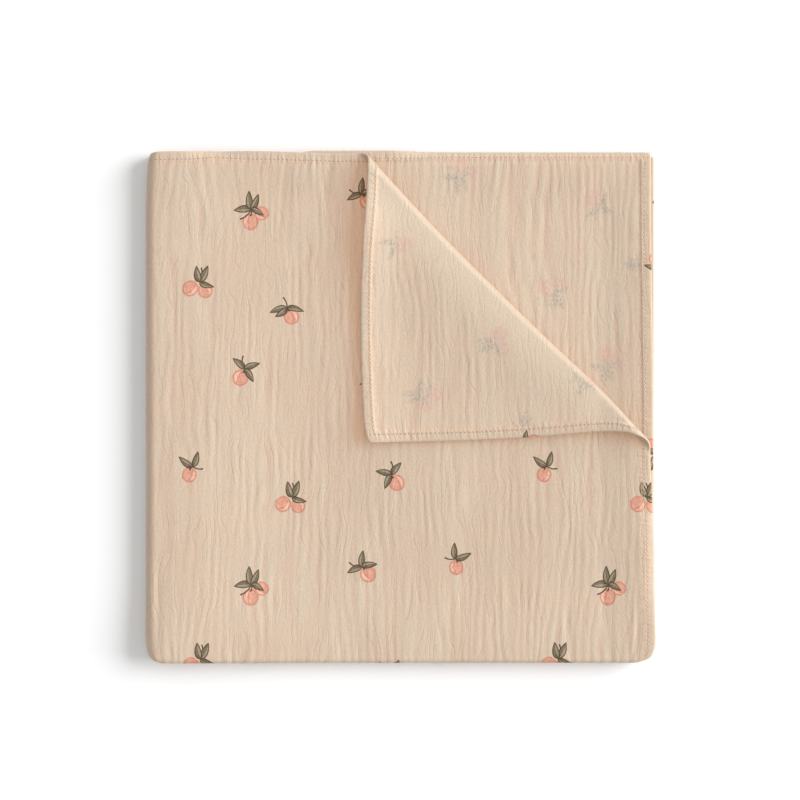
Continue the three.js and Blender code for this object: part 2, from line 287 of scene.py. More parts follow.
def top_height(a, b, move_x, move_y):
    from_left = np.abs(FOLD - a + move_x)
    from_bottom = np.abs(FOLD - b + move_y)
    pair = pair_half(from_left, from_bottom)
    return CAD_SHEET / 2 + 2 * (pair + stack_half(from_left, from_bottom))


def cloth_middle(a, b):
    """The middle of the sheet as it lies, and how far each point has gone round the roll."""
    x, y, z = folded_cloth(a, b)
    across = x - CREASE_TOP[0]
    down = y - CREASE_TOP[1]
    along = across * along_crease[0] + down * along_crease[1]
    past = across * past_crease[0] + down * past_crease[1]
    share = along / crease_length
    radius = ROLL_RADIUS + ROLL_END_GAIN * np.clip(np.abs(2 * share - 1), 0, 1) ** 4
    edge = sum(bow * bump(share - at, reach) for at, reach, bow in CREASE_BOWS)
    start = edge - radius
    run = np.where(layer_of(a, b) == 1, past - start, -1)
    turned = run > 0
    turn = np.clip(run / radius, 0, math.pi)
    back = np.maximum(run - math.pi * radius, 0)
    held = smooth(back, 0, FLAP_GRIP)

    new_past = start + radius * np.sin(turn) - back * FLAP_PULL
    new_along = along + back * FLAP_SLIDE
    new_x = CREASE_TOP[0] + new_along * along_crease[0] + new_past * past_crease[0]
    new_y = CREASE_TOP[1] + new_along * along_crease[1] + new_past * past_crease[1]
    lost = BOW_LOST * smooth(a, *BOW_ROLL)
    bow = (1 - np.exp(-a / BOW_TIP_REACH)) * (1 - lost) * np.exp(-b / BOW_FADE)
    new_x = new_x - BOW_OUT * bow * held
    rising = bump(b - RISE_AT, RISE_REACH) * np.exp(-a / RISE_FADE)
    new_y = new_y + RISE_UP * rising * smooth(run, *RISE_ROLL)

    settled = bump(back, FLAP_SETTLE)
    lying = FLAP_CLEARANCE + (2 * radius - FLAP_CLEARANCE) * settled
    rolled = radius * (1 - np.cos(turn))
    curl = CURL_TOP_HEM * bump(b, CURL_REACH) + CURL_RIGHT_HEM * bump(a, CURL_REACH)
    curl = curl + CURL_TIP * bump(np.hypot(a, b), CURL_REACH)
    curl = curl + CURL_BY_ROLL * bump(b, CURL_REACH) * smooth(a, *CURL_ROLL)
    ground = top_height(a, b, new_x - x, new_y - y) - top_height(a, b, 0, 0)
    new_z = z + ground + np.where(back > 0, lying, rolled) + curl * held
    points = np.stack(
        [np.where(turned, new_x, x), np.where(turned, new_y, y), np.where(turned, new_z, z)],
        axis=-1,
    )
    return points, np.where(turned, turn, 0), np.where(turned, back, 0)


# The crinkles of the gauze
# Double gauze is two thin weaves tacked together, and it shrinks into soft ridges with narrow
# troughs between them, about 5 mm apart and wavering as they run down the cloth. On the flap
# they run down the picture too. The folds, the roll and the hems press them flatter.
CRINKLE_PITCH = 5.3
CRINKLE_HEIGHT = 0.11
RIDGE_GAIN = 1.7
RIDGE_MIDDLE = 0.64
RIDGE_STRENGTH = 0.65
# Random waves: how strong, how long across and along the crinkles, and where they begin
WAVERS = [(3.3, 13, 50, 0), (1.05, 5, 9, 30), (5, 50, 130, 20)]
STRENGTH_WAVES = (0.8, 7, 20, 60)
FINE_WAVES = (0.22, 2.4, 14, 40)
BROAD_WAVES = (0.5, 9, 55, 80)
# How much is left of the crinkles at the hems, the left fold and the roll, and where they return
HEM_LEAVES = 0.35
HEM_FREE = (5, 8)
FOLD_LEAVES = 0.3
FOLD_FREE = (2, 14)
ROLL_FREE = (2, 30)
LAYER_CRINKLE = (1, -1.08, 0.5, -0.5)
FLAP_OFFSET = 900
TABLE_CLEARANCE = CAD_SHEET / 2 - SHEET / 2
CHANCE_SIZE = 512
chance = np.random.default_rng(11).uniform(-1, 1, (CHANCE_SIZE, CHANCE_SIZE))


def random_waves(u, v):
    """Smooth random waves from -1 to 1, about two units from crest to crest."""
    i = np.floor(u).astype(int)
    j = np.floor(v).astype(int)
    s = u - i
    t = v - j
    s = s * s * s * (s * (s * 6 - 15) + 10)
    t = t * t * t * (t * (t * 6 - 15) + 10)
    i, i_next = i % CHANCE_SIZE, (i + 1) % CHANCE_SIZE
    j, j_next = j % CHANCE_SIZE, (j + 1) % CHANCE_SIZE
    near = chance[i, j] * (1 - s) + chance[i_next, j] * s
    far = chance[i, j_next] * (1 - s) + chance[i_next, j_next] * s
    return near * (1 - t) + far * t


def wave_row(row, across, along):
    strong, wide, long, begin = row
    return strong * random_waves(across / wide + begin, along / long)


def from_nearest_hem(a, b):
    return np.minimum(np.minimum(a, b), np.minimum(SIDE - a, SIDE - b))


def gauze_place(a, b, points, turn):
    """Where a point is in the gauze, across and along its crinkles."""
    flap = turn > math.pi / 2
    across = np.where(flap, FLAP_OFFSET - points[..., 0], a)
    along = np.where(flap, points[..., 1], np.abs(FOLD - b))
    return across, along


def crinkles(a, b, points, turn, back):
    """Height of the crinkles, from about -1 to 1."""
    across, along = gauze_place(a, b, points, turn)
    waver = sum(wave_row(row, across, along) for row in WAVERS)
    ridge = np.abs(np.sin(math.pi * (across + waver) / CRINKLE_PITCH))
    strength = RIDGE_STRENGTH + wave_row(STRENGTH_WAVES, across, along)
    height = RIDGE_GAIN * strength * (ridge - RIDGE_MIDDLE)
    height = height + wave_row(FINE_WAVES, across, along)
    height = height + wave_row(BROAD_WAVES, across, along)
    free = HEM_LEAVES + (1 - HEM_LEAVES) * smooth(from_nearest_hem(a, b), *HEM_FREE)
    free = free * (FOLD_LEAVES + (1 - FOLD_LEAVES) * smooth(np.abs(FOLD - a), *FOLD_FREE))
    flap = turn > math.pi / 2
    roll = np.where(flap, smooth(back, *ROLL_FREE), 1 - smooth(turn, 0, math.pi / 2))
    return height * free * roll * np.where(flap, -1, 1)


# The creases, as soft troughs and ridges of the top layer: from and to on the stack, their
# depth and width, all in millimetres. A ridge has a depth below nothing. Each fades out at both
# ends, over shares of its own length.
CREASE_START = (-0.35, 0.2)
CREASE_END = (0.8, 1.35)
CREASES = [
    ((139.6, -112), (139.4, -137), 0.26, 0.9),
    ((139.4, -137), (135.5, -150), 0.24, 1.0),
    ((137.6, -100), (137.4, -140), -0.16, 0.9),
    ((133.0, -84), (132.4, -138), 0.14, 1.0),
    ((-142.5, -96), (-142.8, -138), 0.45, 2.2),
    ((-138.6, -60), (-139.4, -120), 0.2, 3.2),
    ((98, -122), (101, -150), 0.3, 2.0),
    ((119, -96), (123, -148), 0.28, 2.2),
    ((-4, 146), (-9, 118), 0.25, 2.4),
    ((-41, 148), (-44, 126), 0.3, 2.0),
    ((-52, 149), (-51, 131), -0.25, 1.8),
    ((-66, 148), (-69, 120), 0.22, 2.2),
    ((30, -19), (32, -44), 0.22, 2.2),
    ((86, -16), (92, -40), 0.25, 2.2),
]


def creases(points):
    depth = np.zeros(points.shape[:-1])
    for start, end, deep, wide in CREASES:
        start = np.array(start, float)
        step = np.array(end, float) - start
        there = points[..., :2] - start
        share = (there @ step) / (step @ step)
        aside = (there[..., 0] * step[1] - there[..., 1] * step[0]) / np.linalg.norm(step)
        fade = smooth(share, *CREASE_START) * (1 - smooth(share, *CREASE_END))
        depth -= deep * bump(aside, wide) * fade
    return depth


# The hem raises the wrong side, most of all at its inner edge, where the gauze is folded. On
# both sides its stitches lie in a shallow groove, and the cloth dips past the inner edge. A
# groove or ridge has a depth, a distance from the hem and a width.
STITCH_LINE = 4.3
STITCH_GROOVE = (0.1, STITCH_LINE, 0.6)
HEM_GROOVE = (0.06, 6.6, 0.9)
HEM_RIDGE = (0.1, 5.05, 0.5)
HEM_EDGE = (4.9, 6.5)


def line_relief(row, from_hem):
    depth, line, wide = row
    return depth * bump(from_hem - line, wide)


def hem_raise(a, b):
    from_fold = np.minimum(np.abs(FOLD - a), np.abs(FOLD - b))
    from_hem = from_nearest_hem(a, b)
    strip = HEM_RAISE * (1 - smooth(from_hem, *HEM_EDGE))
    return (strip + line_relief(HEM_RIDGE, from_hem)) * smooth(from_fold, *RAISE_HOLD)


def hem_grooves(a, b):
    from_hem = from_nearest_hem(a, b)
    return line_relief(STITCH_GROOVE, from_hem) + line_relief(HEM_GROOVE, from_hem)


# How far aside the sheet is sampled for its directions
NUDGE = 0.02


def unit(vectors):
    return vectors / np.linalg.norm(vectors, axis=-1)[..., None]


def cloth_faces(a, b):
    """The printed and the wrong face of the sheet, its directions, crinkles and turn."""
    points, turn, back = cloth_middle(a, b)
    step_a = np.where(a < FOLD, NUDGE, -NUDGE)
    step_b = np.where(b < FOLD, NUDGE, -NUDGE)
    along_a = (cloth_middle(a + step_a, b)[0] - points) / step_a[:, None]
    along_b = (cloth_middle(a, b + step_b)[0] - points) / step_b[:, None]
    normal = unit(np.cross(along_a, along_b))
    layer = layer_of(a, b)
    height = crinkles(a, b, points, turn, back) * np.choose(layer - 1, LAYER_CRINKLE)
    lift = CRINKLE_HEIGHT * height + np.where((layer == 1) & (turn == 0), creases(points), 0)
    lift = np.where(layer == 4, np.minimum(lift, TABLE_CLEARANCE), lift)
    groove = hem_grooves(a, b)
    printed = points + normal * (lift + SHEET / 2 - groove)[:, None]
    wrong = points + normal * (lift - SHEET / 2 - hem_raise(a, b) + groove)[:, None]
    return printed, wrong, unit(along_a), unit(along_b), height, turn


# The cloth as a mesh
# Its lines follow the hems and the folds, and lie close together across the crinkles wherever
# they show: across the open top layers, and down on the flap. The roll is cut along the crease
# as well. A round edge joins the two faces.
HEM_LINES = [0, 1.2, 2.6, 3.7, 4.3, 4.7, 5.05, 5.4, 5.8, 6.6, 7.8, 9.4]
ACROSS_STEP = 5.2
DOWN_STEP = 5.0
HIDDEN_STEP = 6.5
ARC = 8
ARC_STEP = 0.9
CUTS_ACROSS = 5
CUTS_DOWN = 4
ROLL = (-3, 9)
UNDER_ROLL = 6
ROLL_BAND = (-12, 20)
ROLL_CUTS = np.arange(-4.4, 11, 0.95)
SAME_POINT = 0.02
EDGE_ROUND = 0.45
EDGE_RINGS = (-0.6, 0, 0.6)


def cloth_lines(near_step, far_step):
    """Dividing lines from hem to fold to hem."""
    hem = np.array(HEM_LINES)
    near = np.arange(hem[-1] + near_step, FOLD - ARC - near_step / 2, near_step)
    far = np.arange(hem[-1] + far_step, FOLD - ARC - far_step / 2, far_step)
    arc = FOLD + np.linspace(-ARC, ARC, round(2 * ARC / ARC_STEP) + 1)
    return np.concatenate([hem, near, arc, (SIDE - far)[::-1], (SIDE - hem)[::-1]])


def past_line(a, b):
    """Distance past the crease on the spread cloth, near enough to place its lines."""
    x = STACK_WIDTH / 2 - a - CREASE_TOP[0]
    y = STACK_LENGTH / 2 - b - CREASE_TOP[1]
    return x * past_crease[0] + y * past_crease[1]


across_lines = cloth_lines(ACROSS_STEP, HIDDEN_STEP)
down_lines = cloth_lines(DOWN_STEP, HIDDEN_STEP)
spread = bmesh.new()
corners = [[spread.verts.new((a, b, 0)) for b in down_lines] for a in across_lines]
for left, right in zip(corners, corners[1:]):
    for j in range(len(down_lines) - 1):
        spread.faces.new((left[j], right[j], right[j + 1], left[j + 1]))

closer_across = []
closer_down = []
for edge in spread.edges:
    start, end = edge.verts[0].co, edge.verts[1].co
    a, b, _ = (start + end) / 2
    runs_across = abs(start.x - end.x) > abs(start.y - end.y)
    upper = a < FOLD - ARC and edge.calc_length() > DOWN_STEP - 0.1
    in_the_open = b < FOLD + ARC and past_line(a, b) < ROLL[0]
    beside_flap = b > FOLD and past_line(a, SIDE - b) > ROLL[0] - UNDER_ROLL
    if upper and runs_across and (in_the_open or beside_flap):
        closer_across.append(edge)
    if upper and not runs_across and b < FOLD and past_line(a, b) > ROLL[1]:
        closer_down.append(edge)
bmesh.ops.subdivide_edges(spread, edges=closer_across, cuts=CUTS_ACROSS)
bmesh.ops.subdivide_edges(
    spread, edges=[edge for edge in closer_down if edge.is_valid], cuts=CUTS_DOWN
)

band = []
for face in spread.faces:
    a, b, _ = face.calc_center_median()
    if a + b < FOLD and ROLL_BAND[0] < past_line(a, b) < ROLL_BAND[1]:
        band.append(face)
band_edges = {edge for face in band for edge in face.edges}
band_corners = {corner for face in band for corner in face.verts}
geometry = band + list(band_edges) + list(band_corners)
crease_from = (STACK_WIDTH / 2 - CREASE_TOP[0], STACK_LENGTH / 2 - CREASE_TOP[1])
for level in ROLL_CUTS:
    on_line = (crease_from[0] - past_crease[0] * level, crease_from[1] - past_crease[1] * level, 0)
    cut = bmesh.ops.bisect_plane(
        spread,
        geom=geometry,
        dist=SAME_POINT,
        plane_co=on_line,
        plane_no=(past_crease[0], past_crease[1], 0),
    )
    geometry = cut["geom"]

spread.verts.index_update()
flat = np.array([v.co[:2] for v in spread.verts])
flat_faces = [[v.index for v in f.verts] for f in spread.faces]
rim = []
for edge in spread.edges:
    if edge.is_boundary:
        loop = edge.link_loops[0]
        rim.append((loop.vert.index, loop.link_loop_next.vert.index))
spread.free()

a, b = flat[:, 0], flat[:, 1]
printed, wrong, along_a, along_b, crinkle_height, roll_turn = cloth_faces(a, b)
count = len(flat)
rim_points = sorted({point for ends in rim for point in ends})
rim_place = {point: k for k, point in enumerate(rim_points)}
rim_a, rim_b = a[rim_points, None], b[rim_points, None]
outwards = np.where(rim_a < 0.01, -along_a[rim_points], 0)
outwards = outwards + np.where(rim_a > SIDE - 0.01, along_a[rim_points], 0)
outwards = outwards + np.where(rim_b < 0.01, -along_b[rim_points], 0)
outwards = unit(outwards + np.where(rim_b > SIDE - 0.01, along_b[rim_points], 0))
edge_middle = (printed[rim_points] + wrong[rim_points]) / 2
edge_half = (printed[rim_points] - wrong[rim_points]) / 2
rings = [
    edge_middle + edge_half * math.sin(angle) + outwards * EDGE_ROUND * math.cos(angle)
    for angle in EDGE_RINGS
]
vertices = np.concatenate([printed, wrong, *rings]) * MM
faces = flat_faces + [[point + count for point in reversed(face)] for face in flat_faces]


def edge_point(ring, point):
    """Number of a point of the edge: ring -1 is the wrong face, past the last the printed one."""
    if ring < 0:
        return point + count
    if ring == len(EDGE_RINGS):
        return point
    return 2 * count + ring * len(rim_points) + rim_place[point]


rim_flat = []
for start, end in rim:
    for ring in range(-1, len(EDGE_RINGS)):
        lower = (edge_point(ring, start), edge_point(ring, end))
        upper = (edge_point(ring + 1, end), edge_point(ring + 1, start))
        faces.append([upper[1], lower[0], lower[1], upper[0]])
        rim_flat.append((start, start, end, end))

cloth_mesh = bpy.data.meshes.new("burp_cloth_gauze")
cloth_mesh.from_pydata(vertices.tolist(), [], faces)
cloth = bpy.data.objects.new("burp_cloth_gauze", cloth_mesh)
bpy.context.collection.objects.link(cloth)
cloth_mesh.polygons.foreach_set("use_smooth", np.ones(len(faces), bool))

# Two maps say where the print and the crinkles lie on the mesh, in shares of the cloth's side.
# The hem is turned to the wrong side, so the print runs on over the edge and along its strip.
flat_count = len(flat_faces)
sizes = np.array([len(face) for face in faces])
corner_face = np.repeat(np.arange(len(faces)), sizes)
corner_point = np.concatenate(
    [np.concatenate(flat_faces)]
    + [np.concatenate([face[::-1] for face in flat_faces])]
    + [np.array(rim_flat).ravel()]
)
face_middle = np.array([flat[face].mean(axis=0) for face in flat_faces])
on_strip = np.minimum(face_middle, SIDE - face_middle).min(axis=1) < HEM_WIDTH
hem_strip = np.concatenate([np.zeros(flat_count, bool), on_strip, np.zeros(len(rim_flat), bool)])
all_middles = np.concatenate([face_middle, face_middle, np.zeros((len(rim_flat), 2))])
print_place = flat[corner_point].copy()
for k in range(2):
    low = hem_strip & (all_middles[:, k] < HEM_WIDTH)
    high = hem_strip & (all_middles[:, k] > SIDE - HEM_WIDTH)
    print_place[low[corner_face], k] *= -1
    print_place[high[corner_face], k] = 2 * SIDE - print_place[high[corner_face], k]
print_map = cloth_mesh.uv_layers.new(name="print")
print_map.data.foreach_set("uv", (print_place / SIDE).astype(np.float32).ravel())

middle_points = cloth_middle(a, b)[0]
flat_turn = np.array([roll_turn[face].mean() for face in flat_faces])
rim_turn = np.array([roll_turn[list(ends)].mean() for ends in rim_flat])
corner_turn = np.concatenate([flat_turn, flat_turn, rim_turn])[corner_face]
gauze_across, gauze_along = gauze_place(
    a[corner_point], b[corner_point], middle_points[corner_point], corner_turn
)
gauze_map = cloth_mesh.uv_layers.new(name="gauze")
gauze_uv = np.stack([gauze_across, gauze_along], axis=1) / SIDE
gauze_map.data.foreach_set("uv", gauze_uv.astype(np.float32).ravel())

# Two marks on its points, for the gauze's painted light and shade. One is the height of the crinkles,
# seen from each face, which paints their ridges lighter and their troughs darker; on the flap it adds
# 1.5 of painted light just past the roll, where the flap falls away from the crease. The other is 1 on
# the shaded side of the roll, where it paints shade. Both are placed by how far the cloth has gone
# round it, in radians.
ROLL_PAINTED_LIGHT = 1.5
PAINTED_LIGHT_PAST = (6, 34)
PAINTED_LIGHT_TURN = (2.0, 3.1)
SHADED_FROM = (0.8, 1.7)
SHADED_TO = (2.3, math.pi)
crinkle_shade_mark = cloth_mesh.attributes.new("crinkle_shading", "FLOAT", "POINT")
rim_height = np.zeros(len(EDGE_RINGS) * len(rim_points))
# Painted light on the flap just past the roll
painted_roll_light = ROLL_PAINTED_LIGHT * (1 - smooth(past_line(a, b), *PAINTED_LIGHT_PAST))
painted_roll_light = painted_roll_light * smooth(roll_turn, *PAINTED_LIGHT_TURN)
heights = np.concatenate([crinkle_height, painted_roll_light - crinkle_height, rim_height])
crinkle_shade_mark.data.foreach_set("value", heights.astype(np.float32))
roll_shade_mark = cloth_mesh.attributes.new("roll", "FLOAT", "POINT")
# Painted shade on the roll's shaded side
painted_roll_shade = smooth(roll_turn, *SHADED_FROM) * (1 - smooth(roll_turn, *SHADED_TO))
painted_roll_shade = np.concatenate([painted_roll_shade, painted_roll_shade, np.zeros(len(rim_height))])
roll_shade_mark.data.foreach_set("value", painted_roll_shade.astype(np.float32))

is_wrong_face = np.zeros(len(faces), bool)
is_wrong_face[flat_count : 2 * flat_count] = True
wrong_side = is_wrong_face & ~hem_strip
in_flap = np.concatenate([flat_turn, flat_turn, rim_turn]) > 0
cloth_mesh.polygons.foreach_set("material_index", (wrong_side + 2 * in_flap).astype(np.int32))
cloth_mesh.update()
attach(cloth, "root")
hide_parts("burp_cloth")

# The gauze
# Sand-coloured cotton, a little pinker in slow patches. Painted light and shade follow its crinkles:
# lighter on their ridges, darker and pinker in their troughs and in the thin veins. Its slubby threads
# are half a millimetre apart, and between the crinkles run fine streaks and, here and there, thin
# veins. Sizes are in millimetres, across and along.
SAND = (0.601, 0.486, 0.370, 1)
ROSE = (0.594, 0.432, 0.324, 1)
THREAD_PITCH = 0.5
SLUB = 1.7
SLUB_SHIFT = 2.4
VEIN_PITCH = 3.6
VEIN_WARP = (13, 32)
VEIN_SHIFT = 4
VEIN_WIDTH = 0.6
VEIN_PLACES = (9, 22)
VEIN_PLACES_START = 50
VEINED = (0.42, 0.62)
STREAK = (1.3, 8)
PATCH = (15, 24)
GRAIN = 0.55
FLECK = (1.3, 1.7)
# How much lighter each makes the cloth, and how high it stands
# Painted light and shade on the crinkles' ridges and troughs
CRINKLE_PAINTED_SHADE = 0.045
# Painted shade on the roll's shaded side, by the roll mark
ROLL_PAINTED_SHADE = -0.2
STREAK_SHADE, STREAK_HIGH = 0.08, 0.06
PATCH_SHADE = 0.06
FLECK_SHADE, FLECK_HIGH = 0.08, 0.06
GRAIN_SHADE, GRAIN_HIGH = 0.16, 0.03
THREAD_SHADE, THREAD_RELIEF = 0.01, 0.01
# Painted shade in the thin veins, which also sink a little
VEIN_PAINTED_SHADE, VEIN_HIGH = -0.03, -0.06
# How much pinker each makes it, and between which sums it turns from sand to rose
# The crinkles' and the veins' pink is painted warm shade in their troughs; the patches' pink is the
# cloth's own
CRINKLE_SHADE_PINK = -0.8
VEIN_SHADE_PINK = 0.3
PATCH_PINK = 0.8
PINK_RANGE = (-1, 1.3)
SOCKETS = {
    "number": "NodeSocketFloat",
    "vector": "NodeSocketVector",
    "colour": "NodeSocketColor",
}
NODE_SPACE = 180


class Wire:
    """A number that one shader node gives the next, so that patterns are plain sums."""

    def __init__(self, tree, socket):
        self.tree = tree
        self.socket = socket

    def __add__(self, other):
        return calc(self.tree, "ADD", self, other)

    def __sub__(self, other):
        return calc(self.tree, "SUBTRACT", self, other)

    def __mul__(self, other):
        return calc(self.tree, "MULTIPLY", self, other)

    def __truediv__(self, other):
        return calc(self.tree, "DIVIDE", self, other)

    __radd__ = __add__
    __rmul__ = __mul__

    def __rsub__(self, other):
        return calc(self.tree, "SUBTRACT", other, self)


def new_node(tree, kind, **settings):
    node = tree.nodes.new(kind)
    node.location = (NODE_SPACE * len(tree.nodes), 0)
    for name, value in settings.items():
        setattr(node, name, value)
    return node


def feed(tree, socket, value):
    """Joins a wire to a socket, or sets the socket's own value."""
    if isinstance(value, Wire):
        tree.links.new(value.socket, socket)
    else:
        socket.default_value = value


def calc(tree, how, *values):
    node = new_node(tree, "ShaderNodeMath", operation=how)
    for socket, value in zip(node.inputs, values):
        feed(tree, socket, value)
    return Wire(tree, node.outputs[0])


def between(tree, value, start, end, first=0, last=1):
    """Changes softly from first to last as the value goes from start to end."""
    node = new_node(tree, "ShaderNodeMapRange", interpolation_type="SMOOTHSTEP")
    for socket, number in zip(node.inputs, (value, start, end, first, last)):
        feed(tree, socket, number)
    return Wire(tree, node.outputs[0])


def blend_colours(tree, share, first, second):
    node = new_node(tree, "ShaderNodeMix", data_type="RGBA")
    feed(tree, node.inputs["Factor"], share)
    feed(tree, node.inputs[6], first)
    feed(tree, node.inputs[7], second)
    return Wire(tree, node.outputs[2])


def noise(tree, x, y, detail=0):
    """Smooth noise, about 0.5, with features one unit apart."""
    place = new_node(tree, "ShaderNodeCombineXYZ")
    feed(tree, place.inputs[0], x)
    feed(tree, place.inputs[1], y)
    node = new_node(tree, "ShaderNodeTexNoise", noise_dimensions="2D")
    tree.links.new(place.outputs[0], node.inputs["Vector"])
    node.inputs["Scale"].default_value = 1
    node.inputs["Detail"].default_value = detail
    return Wire(tree, node.outputs[0])


def apart(tree, vector, scale=1):
    """The two coordinates of a place on a map, scaled."""
    node = new_node(tree, "ShaderNodeSeparateXYZ")
    feed(tree, node.inputs[0], vector)
    return Wire(tree, node.outputs[0]) * scale, Wire(tree, node.outputs[1]) * scale


def new_group(name, inputs, outputs):
    """A shader node group, its given wires by name, and its output node."""
    tree = bpy.data.node_groups.new(name, "ShaderNodeTree")
    for label, kind in inputs.items():
        tree.interface.new_socket(label, in_out="INPUT", socket_type=SOCKETS[kind])
    for label, kind in outputs.items():
        tree.interface.new_socket(label, in_out="OUTPUT", socket_type=SOCKETS[kind])
    given = new_node(tree, "NodeGroupInput")
    result = new_node(tree, "NodeGroupOutput")
    return tree, {label: Wire(tree, given.outputs[label]) for label in inputs}, result


def use_group(tree, group, **values):
    node = new_node(tree, "ShaderNodeGroup", node_tree=group)
    for label, value in values.items():
        feed(tree, node.inputs[label], value)
    return {socket.name: Wire(tree, socket) for socket in node.outputs}


gauze, given, result = new_group(
    "crinkled_gauze",
    {"Place": "vector", "Crinkle": "number", "Roll": "number"},
    {"Shade": "number", "Pink": "number", "Height": "number"},
)
across, along = apart(gauze, given["Place"], SIDE)
warp = noise(gauze, across / VEIN_WARP[0], along / VEIN_WARP[1], detail=1) * VEIN_SHIFT
vein = calc(gauze, "ABSOLUTE", calc(gauze, "SINE", (across / VEIN_PITCH + warp) * math.pi))
vein = between(gauze, vein, 0, VEIN_WIDTH, 1, 0)
places = noise(gauze, across / VEIN_PLACES[0] + VEIN_PLACES_START, along / VEIN_PLACES[1])
vein = vein * between(gauze, places, *VEINED)
streak = noise(gauze, across / STREAK[0], along / STREAK[1], detail=2) - 0.5
patch = noise(gauze, across / PATCH[0], along / PATCH[1], detail=1) - 0.5
grain = noise(gauze, across / GRAIN, along / GRAIN, detail=1) - 0.5
fleck = noise(gauze, across / FLECK[0], along / FLECK[1]) - 0.5
slub = noise(gauze, across / SLUB, along / SLUB, detail=1) * SLUB_SHIFT
threads_down = calc(gauze, "SINE", (across / THREAD_PITCH + slub) * (2 * math.pi))
threads_across = calc(gauze, "SINE", (along / THREAD_PITCH + slub) * (2 * math.pi))
weave = threads_down + threads_across
# Painted light and shade from the crinkle mark, the roll mark and the veins, with the gauze's own
# streaks, patches, flecks, grain and threads
shade = 1 + given["Crinkle"] * CRINKLE_PAINTED_SHADE + given["Roll"] * ROLL_PAINTED_SHADE
shade = shade + streak * STREAK_SHADE + patch * PATCH_SHADE + fleck * FLECK_SHADE
shade = shade + grain * GRAIN_SHADE + weave * THREAD_SHADE + vein * VEIN_PAINTED_SHADE
# Painted warm shade in the troughs and veins, with the cloth's own pink patches
pink = given["Crinkle"] * CRINKLE_SHADE_PINK + vein * VEIN_SHADE_PINK + patch * PATCH_PINK
height = streak * STREAK_HIGH + fleck * FLECK_HIGH + grain * GRAIN_HIGH
height = height + weave * THREAD_RELIEF + vein * VEIN_HIGH
feed(gauze, result.inputs["Shade"], shade)
feed(gauze, result.inputs["Pink"], between(gauze, pink, *PINK_RANGE))
feed(gauze, result.inputs["Height"], height)

# The hem's marks
# Each stitch pulls the gauze in, so a row of small puckers crosses the hem, and the needle's holes
# show as brownish dots between the stitches. Along the hem's inner edge, where the cloth steps down,
# runs a warm line of painted shade.
STITCH_PITCH = 2.5
HOLE_START = 1.75
HOLE_ACROSS = (0.15, 0.5)
HOLE_ALONG = (0.2, 0.6)
HOLE_DEPTH = 0.12
PUCKER = 2.1
PUCKER_LONG = 14
PUCKER_REACH = (0.4, 5)
PUCKER_HEIGHT = 0.5
# Where the hem's line of painted shade lies, and how wide it is
HEM_TURN = 5.7
HEM_TURN_WIDTH = (0.1, 0.9)

marks, given, result = new_group(
    "hem_marks", {"Place": "vector"}, {"Hole": "number", "Edge_shade": "number", "Height": "number"}
)
from_right, from_top = apart(marks, given["Place"], SIDE)
from_right = calc(marks, "ABSOLUTE", from_right)
from_top = calc(marks, "ABSOLUTE", from_top)
side_distance = calc(marks, "MINIMUM", from_right, calc(marks, "ABSOLUTE", SIDE - from_right))
end_distance = calc(marks, "MINIMUM", from_top, calc(marks, "ABSOLUTE", SIDE - from_top))
hole = 0
pucker = 0
for distance, place in ((side_distance, from_top), (end_distance, from_right)):
    off_line = calc(marks, "ABSOLUTE", distance - STITCH_LINE)
    pitch = (place - HOLE_START) / STITCH_PITCH
    off_hole = calc(marks, "ABSOLUTE", pitch - calc(marks, "ROUND", pitch)) * STITCH_PITCH
    spot = between(marks, off_line, *HOLE_ACROSS, 1, 0) * between(marks, off_hole, *HOLE_ALONG, 1, 0)
    hole = spot + hole
    wave = noise(marks, place / PUCKER, distance / PUCKER_LONG, detail=1) - 0.5
    pucker = wave * between(marks, off_line, *PUCKER_REACH, 1, 0) + pucker
nearest = calc(marks, "MINIMUM", side_distance, end_distance)
from_edge = calc(marks, "ABSOLUTE", nearest - HEM_TURN)
feed(marks, result.inputs["Hole"], hole)
# The hem's line of painted shade
feed(marks, result.inputs["Edge_shade"], between(marks, from_edge, *HEM_TURN_WIDTH, 1, 0))
feed(marks, result.inputs["Height"], pucker * PUCKER_HEIGHT - hole * HOLE_DEPTH)

# The print
# Small sprigs of round fruit and leaves, drawn for this cloth and scattered over it, each with
# one or two coral fruits and grey-green leaves outlined in dark brown, as if painted in
# watercolour. Five kinds of sprig take turns in a repeat of twelve places.
SPOTS = (70, 55)
REPEAT = (3, 4)
KINDS = 5
SPRIG_REACH = 32
FULL_TURN = 360
CORAL = (0.60, 0.265, 0.188, 1)
PALE_FRUIT = (0.76, 0.46, 0.335, 1)
FRUIT_LINE = (0.51, 0.15, 0.09, 1)
LEAF_LIGHT = (0.35, 0.292, 0.205, 1)
LEAF_DARK = (0.12, 0.085, 0.045, 1)
TWIG_BROWN = (0.058, 0.036, 0.014, 1)
# For each place: its sprig's shift across and up, how far it is turned, in degrees, its kind
PLACES = [
    (8, -6, 14, 0),
    (-12, 9, -22, 3),
    (3, 4, 35, 2),
    (-6, -9, -8, 4),
    (13, 6, 24, 1),
    (-15, -3, 4, 3),
    (4, 10, -30, 2),
    (-9, -7, 10, 0),
    (12, 2, -14, 4),
    (-3, -10, 20, 1),
    (9, 8, -5, 3),
    (-14, 3, -38, 2),
]
# For each kind, in millimetres from the foot of its leaves. A fruit: across, up, radius, turn
NO_FRUIT = (0, 0, 0.01, 0)
FIRST_FRUITS = [
    (-2.2, -7.2, 4.9, 75),
    (-5.0, -3.6, 4.4, 35),
    (0.6, -5.4, 4.9, 95),
    (2.4, -4.6, 4.5, 120),
    (-1.8, -5.2, 4.7, 70),
]
SECOND_FRUITS = [(5.4, -3.8, 4.3, 130), (3.6, -5.6, 4.8, 115), NO_FRUIT, NO_FRUIT, NO_FRUIT]
